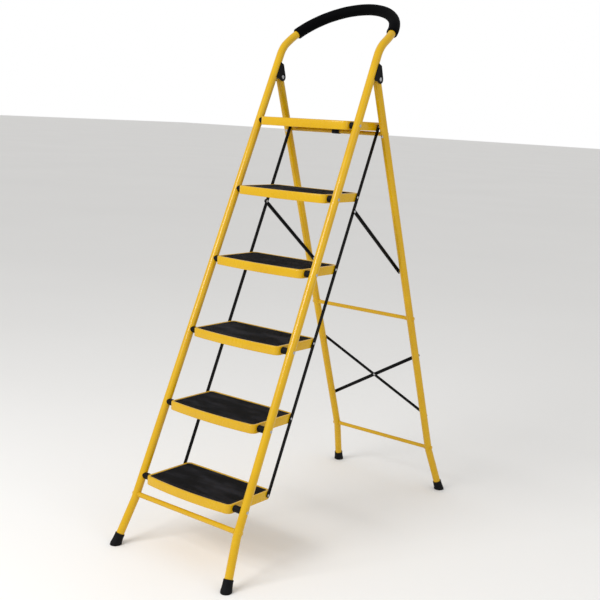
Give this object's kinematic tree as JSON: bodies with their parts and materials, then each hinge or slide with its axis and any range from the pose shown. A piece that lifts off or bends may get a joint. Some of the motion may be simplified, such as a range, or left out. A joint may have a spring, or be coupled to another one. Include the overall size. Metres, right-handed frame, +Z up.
{
  "type": "folding stepladder",
  "caption": "Folding steel stepladder with pressed steps on rubber mats, a foam-sleeved handle hoop, folding rear legs, drive bars, diagonal stays and rubber foot caps.",
  "frame": {"origin": "on the floor, midway between the two sides and midway between the outermost front and rear edges of the open ladder", "axes": "+X to the climber's right along the steps, +Y from the climbing side to the rear legs, +Z up"},
  "size_m": [0.5314, 1.2848, 1.8197],
  "materials": {
    "yellow_paint": "semi-gloss powder coat, yellow",
    "black_paint": "semi-gloss black enamel",
    "zinc_steel": "zinc plated, slightly dull",
    "black_plastic": "moulded, fine satin",
    "foot_rubber": "moulded rubber, matt, dusty",
    "tread_rubber": "ribbed rubber mat, worn matt",
    "foam": "closed-cell foam sleeve, matt"
  },
  "bodies": {
    "front_frame": {"rail_left": "yellow_paint", "rail_right": "yellow_paint", "handle_hoop": "yellow_paint", "foam_grip": "foam", "front_rung": "yellow_paint", "hinge_bracket_left": "black_paint", "hinge_bracket_right": "black_paint", "hinge_pins": "zinc_steel", "step_bushes": "black_plastic", "step_pins": "zinc_steel", "foot_front_left": "foot_rubber", "foot_front_right": "foot_rubber"},
    "rear_frame": {"rear_leg_left": "yellow_paint", "rear_leg_right": "yellow_paint", "rear_rung_upper": "yellow_paint", "rear_rung_lower": "yellow_paint", "top_crossbar": "yellow_paint", "crossbar_rivets": "zinc_steel", "step_rest_clip": "black_plastic", "cross_brace_front": "black_paint", "cross_brace_back": "black_paint", "cross_brace_rivets": "zinc_steel", "stay_bosses": "zinc_steel", "foot_rear_left": "foot_rubber", "foot_rear_right": "foot_rubber"},
    "step_1_body": {"step_1": "yellow_paint", "mat_1": "tread_rubber"},
    "step_2_body": {"step_2": "yellow_paint", "mat_2": "tread_rubber"},
    "step_3_body": {"step_3": "yellow_paint", "mat_3": "tread_rubber"},
    "step_4_body": {"step_4": "yellow_paint", "mat_4": "tread_rubber"},
    "step_5_body": {"step_5": "yellow_paint", "mat_5": "tread_rubber"},
    "step_6_body": {"step_6": "yellow_paint", "mat_6": "tread_rubber"},
    "drive_left": {"drive_bar_left": "black_paint", "drive_rivets_left": "zinc_steel"},
    "brace_left": {"stay_left": "black_paint", "stay_rivets_left": "zinc_steel"},
    "drive_right": {"drive_bar_right": "black_paint", "drive_rivets_right": "zinc_steel"},
    "brace_right": {"stay_right": "black_paint", "stay_rivets_right": "zinc_steel"}
  },
  "joints": [
    {"name": "rear_fold", "type": "hinge", "parent": "front_frame", "child": "rear_frame", "pos_m": [0, 0.06086, 1.552], "axis": [-1, 0, 0], "range_deg": [0, 41]},
    {"name": "step_1_fold", "type": "hinge", "parent": "front_frame", "child": "step_1_body", "pos_m": [0, -0.5288, 0.224], "axis": [1, 0, 0], "range_deg": [0, 60.3]},
    {"name": "step_2_fold", "type": "hinge", "parent": "front_frame", "child": "step_2_body", "pos_m": [0, -0.4305, 0.459], "axis": [1, 0, 0], "range_deg": [0, 60.3]},
    {"name": "step_3_fold", "type": "hinge", "parent": "front_frame", "child": "step_3_body", "pos_m": [0, -0.33219, 0.694], "axis": [1, 0, 0], "range_deg": [0, 60.3]},
    {"name": "step_4_fold", "type": "hinge", "parent": "front_frame", "child": "step_4_body", "pos_m": [0, -0.23389, 0.929], "axis": [1, 0, 0], "range_deg": [0, 60.3]},
    {"name": "step_5_fold", "type": "hinge", "parent": "front_frame", "child": "step_5_body", "pos_m": [0, -0.13559, 1.164], "axis": [1, 0, 0], "range_deg": [0, 60.3]},
    {"name": "step_6_fold", "type": "hinge", "parent": "front_frame", "child": "step_6_body", "pos_m": [0, -0.03729, 1.399], "axis": [1, 0, 0], "range_deg": [0, 60.3]},
    {"name": "drive_link_left", "type": "hinge", "parent": "step_5_body", "child": "drive_left", "pos_m": [0, 0.02041, 1.164], "axis": [-1, 0, 0], "range_deg": [0, 60.3]},
    {"name": "drive_link_right", "type": "hinge", "parent": "step_5_body", "child": "drive_right", "pos_m": [0, 0.02041, 1.164], "axis": [-1, 0, 0], "range_deg": [0, 60.3]},
    {"name": "stay_link_left", "type": "hinge", "parent": "drive_left", "child": "brace_left", "pos_m": [0, 0.00112, 1.11787], "axis": [-1, 0, 0], "range_deg": [0, 70.4]},
    {"name": "stay_link_right", "type": "hinge", "parent": "drive_right", "child": "brace_right", "pos_m": [0, 0.00112, 1.11787], "axis": [-1, 0, 0], "range_deg": [0, 70.4]}
  ],
  "couplings": [
    {"joint": "step_1_fold", "follows": "rear_fold", "ratio": 1.4667},
    {"joint": "step_2_fold", "follows": "rear_fold", "ratio": 1.4667},
    {"joint": "step_3_fold", "follows": "rear_fold", "ratio": 1.4667},
    {"joint": "step_4_fold", "follows": "rear_fold", "ratio": 1.4667},
    {"joint": "step_5_fold", "follows": "rear_fold", "ratio": 1.4667},
    {"joint": "step_6_fold", "follows": "rear_fold", "ratio": 1.4667},
    {"joint": "drive_link_left", "follows": "rear_fold", "ratio": 1.4667},
    {"joint": "drive_link_right", "follows": "rear_fold", "ratio": 1.4667},
    {"joint": "stay_link_left", "follows": "rear_fold", "ratio": 1.7132},
    {"joint": "stay_link_right", "follows": "rear_fold", "ratio": 1.7132}
  ]
}
